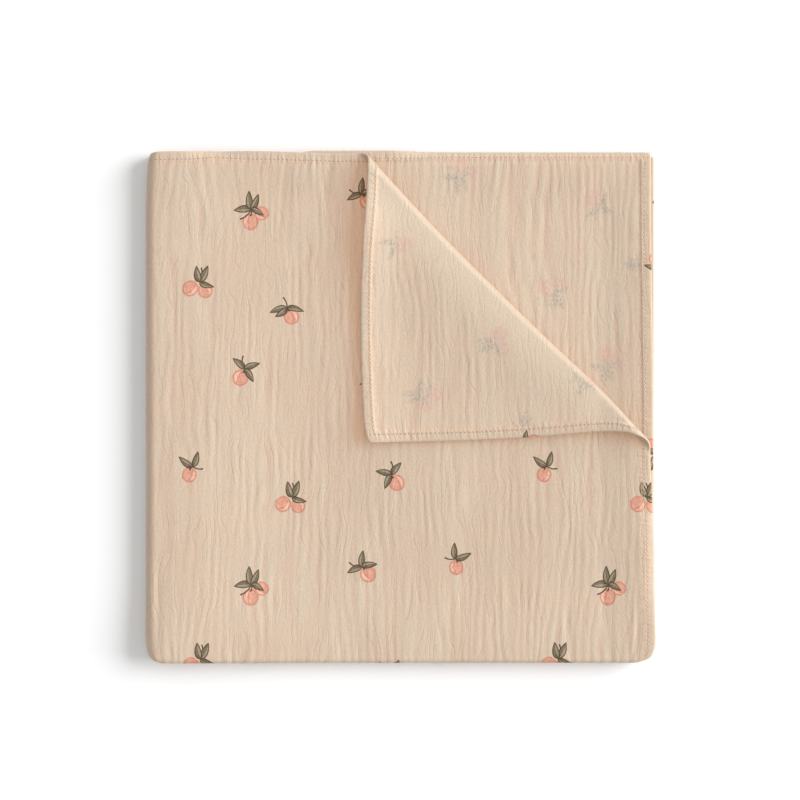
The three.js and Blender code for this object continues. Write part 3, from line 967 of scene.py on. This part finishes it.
# A leaf: its direction, length, width and bend
NO_LEAF = (0, 0.01, 0.01, 0)
LEAVES = [
    [
        (158, 10, 4.6, 0.1),
        (104, 10.4, 4.4, -0.08),
        (150, 9, 4.2, 0.12),
        (128, 9.2, 4, -0.1),
        (176, 9.6, 4, 0.16),
    ],
    [
        (96, 10.6, 4.4, -0.1),
        (38, 9.4, 4.4, 0.12),
        (62, 9.8, 4, -0.08),
        (22, 9.6, 4.2, 0.14),
        (12, 10, 4.2, -0.14),
    ],
    [
        (34, 9.6, 4.2, 0.12),
        (196, 8.6, 3.8, -0.14),
        (-8, 9, 4.2, -0.12),
        NO_LEAF,
        (-42, 8.4, 4, 0.1),
    ],
    [(-24, 8, 3.8, -0.12), NO_LEAF, NO_LEAF, NO_LEAF, NO_LEAF],
]
# A twig: from and to
TWIGS = [
    [(0, 0, -7.4, -4.2), (0, 0, 2.4, 7.6), (0, 0, -4.4, 6.2), (0, 0, -5.6, -1.8), (0, 0, 1.2, 6.4)],
    [(0, 0, -1.2, -3.6), (0, 0, -3.4, -1.8), (0, 0, 0.4, -1.8), (0, 0, 1.8, -1.6), (0, 0, -1.2, -1.6)],
]


def from_table(tree, kind, rows, scales):
    """Four numbers for each kind of sprig, kept as the steps of a ramp."""
    node = new_node(tree, "ShaderNodeValToRGB")
    ramp = node.color_ramp
    ramp.interpolation = "CONSTANT"
    while len(ramp.elements) < len(rows):
        ramp.elements.new(1)
    for k, row in enumerate(rows):
        ramp.elements[k].position = k / len(rows)
    for step, row in zip(ramp.elements, rows):
        step.color = [number / scale + 0.5 for number, scale in zip(row, scales)]
    feed(tree, node.inputs[0], kind)
    split = new_node(tree, "ShaderNodeSeparateColor")
    tree.links.new(node.outputs["Color"], split.inputs[0])
    wires = [Wire(tree, socket) for socket in (*split.outputs, node.outputs["Alpha"])]
    return [(wire - 0.5) * scale for wire, scale in zip(wires, scales)]


def turned(tree, x, y, angle):
    """A place seen from axes that are turned by an angle in degrees."""
    angle = calc(tree, "RADIANS", angle)
    cosine = calc(tree, "COSINE", angle)
    sine = calc(tree, "SINE", angle)
    return x * cosine + y * sine, y * cosine - x * sine


PAINTED = {"Colour": "colour", "Cover": "number", "Mask": "number"}
UNDER = {"X": "number", "Y": "number", "Soft": "number"} | PAINTED


def paint(tree, result, under, colour, cover):
    """Lays a colour over what is painted so far."""
    feed(tree, result.inputs["Colour"], blend_colours(tree, cover, under["Colour"], colour))
    feed(tree, result.inputs["Cover"], calc(tree, "MAXIMUM", under["Cover"], cover))
    feed(tree, result.inputs["Mask"], calc(tree, "MAXIMUM", under["Mask"], cover))


# A fruit is a little flattened, with a light cheek beside its cleft and a thin ring for outline.
FRUIT_WASH = 2.2
FRUIT_UNEVEN = 0.12
FRUIT_FLAT = 1.1
CLEFT_BOW = 0.3
CHEEK = (-0.1, 0.3)
CHEEK_EDGE = (0.6, 0.95)
PALE_WASH = 0.8
PALE_ALL_OVER = 0.28
RING = 0.88
LINE_WIDTH = (0.02, 0.12)
CLEFT_COVER = 0.65
RING_COVER = 0.6
fruit, given, result = new_group(
    "painted_fruit",
    UNDER | {"Across": "number", "Up": "number", "Radius": "number", "Turn": "number"},
    PAINTED,
)
u, v = turned(fruit, given["X"] - given["Across"], given["Y"] - given["Up"], given["Turn"])
u = u / given["Radius"]
v = v / given["Radius"]
wash = noise(fruit, given["X"] / FRUIT_WASH, given["Y"] / FRUIT_WASH, detail=1) - 0.5
round_distance = calc(fruit, "SQRT", u * u + v * v * FRUIT_FLAT) + wash * FRUIT_UNEVEN
soft = given["Soft"] / given["Radius"]
cover = between(fruit, round_distance, 1 - soft, 1 + soft, 1, 0)
cleft = v - (1 - u * u) * CLEFT_BOW
lit = between(fruit, cleft + wash, *CHEEK) * between(fruit, round_distance, *CHEEK_EDGE, 1, 0)
colour = blend_colours(fruit, lit + wash * PALE_WASH + PALE_ALL_OVER, CORAL, PALE_FRUIT)
line = between(fruit, calc(fruit, "ABSOLUTE", cleft), *LINE_WIDTH, CLEFT_COVER, 0)
off_ring = calc(fruit, "ABSOLUTE", round_distance - RING)
ring = between(fruit, off_ring, *LINE_WIDTH, RING_COVER, 0)
colour = blend_colours(fruit, calc(fruit, "MAXIMUM", line, ring), colour, FRUIT_LINE)
paint(fruit, result, given, colour, cover)

# A leaf is widest below its middle and bends along its rib. One half and its foot are darker,
# and its outline, rib and side veins are drawn in brown.
LEAF_WASH = 1.8
LEAF_FOOT = 0.55
LEAF_TIP = 0.85
LEAF_FULL = 1.28
LEAF_BEND = 2.4
LEAF_DARK_HALF = (-0.05, 0.03, 0.7, 0)
LEAF_DARK_FOOT = (0, 0.4, 0.6, 0)
LEAF_DARK_WASH = 0.5
LEAF_OUTLINE = (0.4, 0.9, 1, 0)
LEAF_RIB = (0.08, 0.3, 0.7, 0)
LEAF_VEINS = 1.7
LEAF_VEIN_LINE = (0.4, 1, 0, 0.4)
leaf, given, result = new_group(
    "painted_leaf",
    UNDER | {"Turn": "number", "Length": "number", "Width": "number", "Bend": "number"},
    PAINTED,
)
u, v = turned(leaf, given["X"], given["Y"], given["Turn"])
u = u / given["Length"]
v = v / given["Length"]
reach = calc(leaf, "MINIMUM", calc(leaf, "MAXIMUM", u, 0.001), 0.999)
fullness = calc(leaf, "POWER", reach, LEAF_FOOT) * calc(leaf, "POWER", 1 - reach, LEAF_TIP)
half = fullness * LEAF_FULL * given["Width"] / given["Length"]
off_rib = v - given["Bend"] * reach * reach * LEAF_BEND
inside = half - calc(leaf, "ABSOLUTE", off_rib) - calc(leaf, "ABSOLUTE", u - reach)
inside = inside * given["Length"]
cover = between(leaf, inside, given["Soft"] * -1, given["Soft"])
dark_half = between(leaf, off_rib, *LEAF_DARK_HALF)
wash = noise(leaf, given["X"] / LEAF_WASH, given["Y"] / LEAF_WASH, detail=1) - 0.5
dark = dark_half + between(leaf, u, *LEAF_DARK_FOOT) + wash * LEAF_DARK_WASH
colour = blend_colours(leaf, dark, LEAF_LIGHT, LEAF_DARK)
outline = between(leaf, inside, *LEAF_OUTLINE)
from_rib = calc(leaf, "ABSOLUTE", off_rib) * given["Length"]
rib = between(leaf, from_rib, *LEAF_RIB)
veins = calc(leaf, "SINE", (u * given["Length"] - from_rib) * (2 * math.pi / LEAF_VEINS))
inner_lines = calc(leaf, "MAXIMUM", rib, between(leaf, veins, *LEAF_VEIN_LINE))
lines = calc(leaf, "MAXIMUM", outline, inner_lines)
colour = blend_colours(leaf, lines, colour, TWIG_BROWN)
paint(leaf, result, given, colour, cover)

# A twig bows a little to one side and is thickest at its ends.
TWIG_BOW = 0.45
TWIG_THICK = 0.48
TWIG_WAIST = 0.5
twig, given, result = new_group(
    "painted_twig",
    UNDER | {"Across": "number", "Up": "number", "To across": "number", "To up": "number"},
    PAINTED,
)
run_x = given["To across"] - given["Across"]
run_y = given["To up"] - given["Up"]
x = given["X"] - given["Across"]
y = given["Y"] - given["Up"]
share = (x * run_x + y * run_y) / (run_x * run_x + run_y * run_y)
share = calc(twig, "MINIMUM", calc(twig, "MAXIMUM", share, 0), 1)
bow = share * (1 - share) * TWIG_BOW
x = x - share * run_x + bow * run_y
y = y - share * run_y - bow * run_x
distance = calc(twig, "SQRT", x * x + y * y)
thick = TWIG_THICK - share * (1 - share) * TWIG_WAIST
cover = between(twig, distance, thick - given["Soft"], thick + given["Soft"], 1, 0)
paint(twig, result, given, TWIG_BROWN, cover)

# The whole print finds the nearest place of a sprig, and paints its fruits, twigs and leaves.
sprigs, given, result = new_group(
    "sprig_print",
    {"Place": "vector", "Soft": "number"},
    {"Colour": "colour", "Cover": "number", "Fruit": "number", "Leaf": "number"},
)
from_right, from_top = apart(sprigs, given["Place"], SIDE)
row = calc(sprigs, "FLOOR", from_top / SPOTS[1])
odd_row = calc(sprigs, "FLOORED_MODULO", row, 2)
shifted = from_right + odd_row * (SPOTS[0] / 2)
column = calc(sprigs, "FLOOR", shifted / SPOTS[0])
number = calc(sprigs, "FLOORED_MODULO", column, REPEAT[0])
number = number + calc(sprigs, "FLOORED_MODULO", row, REPEAT[1]) * REPEAT[0]
across, up, turn, kind = from_table(
    sprigs,
    (number + 0.5) / len(PLACES),
    [(dx, dy, degrees, (which + 0.5) / KINDS - 0.5) for dx, dy, degrees, which in PLACES],
    (SPRIG_REACH, SPRIG_REACH, FULL_TURN, 1),
)
kind = kind + 0.5
x = (column + 0.5) * SPOTS[0] - shifted - across
y = (row + 0.5) * SPOTS[1] - from_top - up
x = x * (1 - odd_row * 2)
x, y = turned(sprigs, x, y, turn)
painted = {"Colour": (0, 0, 0, 1), "Cover": 0, "Mask": 0}
at = {"X": x, "Y": y, "Soft": given["Soft"]}
for table in (SECOND_FRUITS, FIRST_FRUITS):
    numbers = from_table(sprigs, kind, table, (SPRIG_REACH, SPRIG_REACH, SPRIG_REACH, FULL_TURN))
    named = dict(zip(("Across", "Up", "Radius", "Turn"), numbers))
    painted = use_group(sprigs, fruit, **at, **painted, **named)
fruit_mask = painted["Mask"]
painted["Mask"] = 0
for table in TWIGS:
    numbers = from_table(sprigs, kind, table, (SPRIG_REACH,) * 4)
    named = dict(zip(("Across", "Up", "To across", "To up"), numbers))
    painted = use_group(sprigs, twig, **at, **painted, **named)
for table in LEAVES:
    numbers = from_table(sprigs, kind, table, (2 * FULL_TURN, SPRIG_REACH, SPRIG_REACH, 1))
    named = dict(zip(("Turn", "Length", "Width", "Bend"), numbers))
    painted = use_group(sprigs, leaf, **at, **painted, **named)
feed(sprigs, result.inputs["Colour"], painted["Colour"])
feed(sprigs, result.inputs["Cover"], painted["Cover"])
feed(sprigs, result.inputs["Leaf"], painted["Mask"])
feed(sprigs, result.inputs["Fruit"], fruit_mask * (1 - painted["Mask"]))

# The two sides of the gauze
# The right side carries the print. On the wrong side it shows through faintly, the fruit as a
# pink shadow and the leaves as a blue-grey one, both blurred and mottled. Where the flap is a
# single sheet with light behind it, some of the light comes through, warmer.
HOLE_BROWN = (0.45, 0.25, 0.16, 1)
# Painted warm shade along the hem's inner edge
HEM_EDGE_PAINTED_SHADE = (0.64, 0.41, 0.27, 1)
FRUIT_SHADOW = (0.61, 0.375, 0.315, 1)
LEAF_SHADOW = (0.38, 0.345, 0.285, 1)
# Painted light: the wrong side is drawn lighter, to offset the shade of its sloping layers
WRONG_SIDE_PAINTED_LIGHT = 1.035
PRINT_COVER = 0.97
HOLE_COVER = 0.45
HEM_SHADE_COVER = 0.5
MOTTLE = (1.2, 1.9)
MOTTLE_RANGE = (0.36, 0.66, 0.1, 0.85)
GAUZE_ROUGHNESS = 0.92
GAUZE_SPECULAR = 0.25
SHARP = 0.2
BLURRED = 1.5
THROUGH_GAUZE = (0.88, 0.74, 0.64, 1)


def from_mesh(tree, kind, output, **settings):
    """A map or a mark that the cloth's mesh carries."""
    return Wire(tree, new_node(tree, kind, **settings).outputs[output])


def gauze_material(name, wrong_side, lets_light_through=False):
    material = bpy.data.materials.new(name)
    material.use_nodes = True
    tree = material.node_tree
    shader = tree.nodes["Principled BSDF"]
    print_uv = from_mesh(tree, "ShaderNodeUVMap", "UV", uv_map="print")
    gauze_uv = from_mesh(tree, "ShaderNodeUVMap", "UV", uv_map="gauze")
    crinkle_shading = from_mesh(tree, "ShaderNodeAttribute", "Fac", attribute_name="crinkle_shading")
    roll = from_mesh(tree, "ShaderNodeAttribute", "Fac", attribute_name="roll")
    surface = use_group(tree, gauze, Place=gauze_uv, Crinkle=crinkle_shading, Roll=roll)
    hem = use_group(tree, marks, Place=print_uv)
    motif = use_group(tree, sprigs, Place=print_uv, Soft=BLURRED if wrong_side else SHARP)
    colour = blend_colours(tree, surface["Pink"], SAND, ROSE)
    if wrong_side:
        across, along = apart(tree, gauze_uv, SIDE)
        mottle = noise(tree, across / MOTTLE[0], along / MOTTLE[1], detail=2)
        mottle = between(tree, mottle, *MOTTLE_RANGE)
        colour = blend_colours(tree, motif["Fruit"] * mottle, colour, FRUIT_SHADOW)
        colour = blend_colours(tree, motif["Leaf"] * mottle, colour, LEAF_SHADOW)
    else:
        colour = blend_colours(tree, motif["Cover"] * PRINT_COVER, colour, motif["Colour"])
    colour = blend_colours(tree, hem["Hole"] * HOLE_COVER, colour, HOLE_BROWN)
    # Painted warm shade along the hem's inner edge
    colour = blend_colours(tree, hem["Edge_shade"] * HEM_SHADE_COVER, colour, HEM_EDGE_PAINTED_SHADE)
    # Painted light on the wrong side
    lighter = WRONG_SIDE_PAINTED_LIGHT if wrong_side else 1
    shaded = new_node(tree, "ShaderNodeVectorMath", operation="SCALE")
    feed(tree, shaded.inputs[0], colour)
    feed(tree, shaded.inputs["Scale"], surface["Shade"] * lighter)
    tree.links.new(shaded.outputs[0], shader.inputs["Base Color"])
    relief = new_node(tree, "ShaderNodeBump")
    relief.inputs["Distance"].default_value = MM
    feed(tree, relief.inputs["Height"], surface["Height"] + hem["Height"])
    tree.links.new(relief.outputs[0], shader.inputs["Normal"])
    shader.inputs["Roughness"].default_value = GAUZE_ROUGHNESS
    shader.inputs["Specular IOR Level"].default_value = GAUZE_SPECULAR
    if lets_light_through:
        see_through = new_node(tree, "ShaderNodeBsdfTransparent")
        see_through.inputs["Color"].default_value = THROUGH_GAUZE
        rays = new_node(tree, "ShaderNodeLightPath")
        either = new_node(tree, "ShaderNodeMixShader")
        tree.links.new(rays.outputs["Is Shadow Ray"], either.inputs[0])
        tree.links.new(shader.outputs[0], either.inputs[1])
        tree.links.new(see_through.outputs[0], either.inputs[2])
        tree.links.new(either.outputs[0], tree.nodes["Material Output"].inputs["Surface"])
    return material


cloth_mesh.materials.append(gauze_material("printed_gauze", False))
cloth_mesh.materials.append(gauze_material("gauze_wrong_side", True))
cloth_mesh.materials.append(gauze_material("printed_gauze_of_flap", False, True))
cloth_mesh.materials.append(gauze_material("wrong_side_of_flap", True, True))

# The hem stitching
# One row of lockstitch in thread of the cloth's own colour goes round all four hems, close to
# their inner edge, and shows on both sides as short stitches that dip in at their ends.
FIRST_STITCH = 8
# A stitch in four rings: each one's place along it, its height and how full the thread is
STITCH_RINGS = ((-1.0, -0.16, 0.6), (-0.65, 0.1, 1), (0.65, 0.1, 1), (1.0, -0.16, 0.6))
THREAD_WIDE = 0.2
THREAD_HIGH = 0.13
THREAD_LIGHT = (0.70, 0.57, 0.44, 1)
THREAD_TWIST = 0.45
TWIST_HEIGHT = 0.03
THREAD_FUZZ = 0.7
THREAD_ROUGHNESS = 0.7

along_hem = np.arange(FIRST_STITCH, SIDE - FIRST_STITCH + 0.1, STITCH_PITCH)
steps = np.array([ring[0] for ring in STITCH_RINGS])
places = (along_hem[:, None] + steps).ravel()
line = np.full_like(places, STITCH_LINE)
stitch_a = np.concatenate([line, SIDE - line, places, places])
stitch_b = np.concatenate([places, places, line, SIDE - line])
runs_down = np.concatenate([np.ones(2 * len(places), bool), np.zeros(2 * len(places), bool)])
front, behind, along_a, along_b = cloth_faces(stitch_a, stitch_b)[:4]
outward = unit(np.cross(along_a, along_b))
sideways = np.where(runs_down[:, None], along_a, along_b)
forwards = np.where(runs_down[:, None], along_b, along_a)
rise = np.tile([ring[1] for ring in STITCH_RINGS], len(stitch_a) // len(STITCH_RINGS))
full = np.tile([ring[2] for ring in STITCH_RINGS], len(stitch_a) // len(STITCH_RINGS))
stitch_points = []
for surface, up in ((front, outward), (behind, -outward)):
    middle = surface + up * rise[:, None]
    flip = np.sign(np.einsum("ij,ij->i", np.cross(sideways, up), forwards))[:, None]
    wide = sideways * THREAD_WIDE * full[:, None] * flip
    high = up * THREAD_HIGH * full[:, None]
    stitch_points.append(np.stack([middle + wide, middle + high, middle - wide, middle - high], 1))
stitch_points = np.concatenate(stitch_points).reshape(-1, 3)
stitch_faces = []
ring_count = len(STITCH_RINGS)
for stitch in range(len(stitch_points) // (4 * ring_count)):
    first = stitch * 4 * ring_count
    for ring in range(ring_count - 1):
        for side in range(4):
            p = first + ring * 4 + side
            q = first + ring * 4 + (side + 1) % 4
            stitch_faces.append((p, q, q + 4, p + 4))
    last = first + 4 * (ring_count - 1)
    stitch_faces.append((first + 3, first + 2, first + 1, first))
    stitch_faces.append((last, last + 1, last + 2, last + 3))

stitch_mesh = bpy.data.meshes.new("hem_stitching")
stitch_mesh.from_pydata((stitch_points * MM).tolist(), [], stitch_faces)
stitching = bpy.data.objects.new("hem_stitching", stitch_mesh)
bpy.context.collection.objects.link(stitching)
stitch_mesh.polygons.foreach_set("use_smooth", np.ones(len(stitch_faces), bool))

thread = bpy.data.materials.new("sewing_thread")
thread.use_nodes = True
tree = thread.node_tree
shader = tree.nodes["Principled BSDF"]
where = new_node(tree, "ShaderNodeTexCoord")
across, along = apart(tree, Wire(tree, where.outputs["Object"]), 1 / MM)
twist = calc(tree, "SINE", (across + along) * (2 * math.pi / THREAD_TWIST))
fuzz = noise(tree, across / THREAD_FUZZ, along / THREAD_FUZZ, detail=1)
colour = blend_colours(tree, fuzz + twist * 0.1, ROSE, THREAD_LIGHT)
tree.links.new(colour.socket, shader.inputs["Base Color"])
relief = new_node(tree, "ShaderNodeBump")
relief.inputs["Distance"].default_value = MM
feed(tree, relief.inputs["Height"], twist * TWIST_HEIGHT)
tree.links.new(relief.outputs[0], shader.inputs["Normal"])
shader.inputs["Roughness"].default_value = THREAD_ROUGHNESS
stitch_mesh.materials.append(thread)
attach(stitching, "root")

# The table
# A plain white studio table.
TABLE_SIZE = 6
TABLE_WHITE = (0.93, 0.93, 0.93, 1)
TABLE_ROUGHNESS = 0.9
bpy.ops.mesh.primitive_plane_add(size=TABLE_SIZE, location=(0, 0, 0))
table = bpy.context.object
table.name = "table"
table_paint = bpy.data.materials.new("table_white")
table_paint.use_nodes = True
shader = table_paint.node_tree.nodes["Principled BSDF"]
shader.inputs["Base Color"].default_value = TABLE_WHITE
shader.inputs["Roughness"].default_value = TABLE_ROUGHNESS
table.data.materials.append(table_paint)

# The light
# A large soft light stands on the right, a little towards the top, and a white room fills in.
# Its height, its turn and how wide it is are in degrees.
LIGHT_HEIGHT = 23
LIGHT_TURN = 13
LIGHT_SPREAD = 44
LIGHT_STRENGTH = 4.46
ROOM_STRENGTH = 0.62
bpy.ops.object.light_add(type="SUN")
soft_light = bpy.context.object
soft_light.name = "soft_light_right"
soft_light.data.energy = LIGHT_STRENGTH
soft_light.data.angle = math.radians(LIGHT_SPREAD)
soft_light.rotation_euler = (0, math.radians(90 - LIGHT_HEIGHT), math.radians(LIGHT_TURN))
room = bpy.context.scene.world or bpy.data.worlds.new("studio")
bpy.context.scene.world = room
room.use_nodes = True
background = room.node_tree.nodes["Background"]
background.inputs["Color"].default_value = (1, 1, 1, 1)
background.inputs["Strength"].default_value = ROOM_STRENGTH
bpy.context.scene.view_settings.view_transform = "Standard"
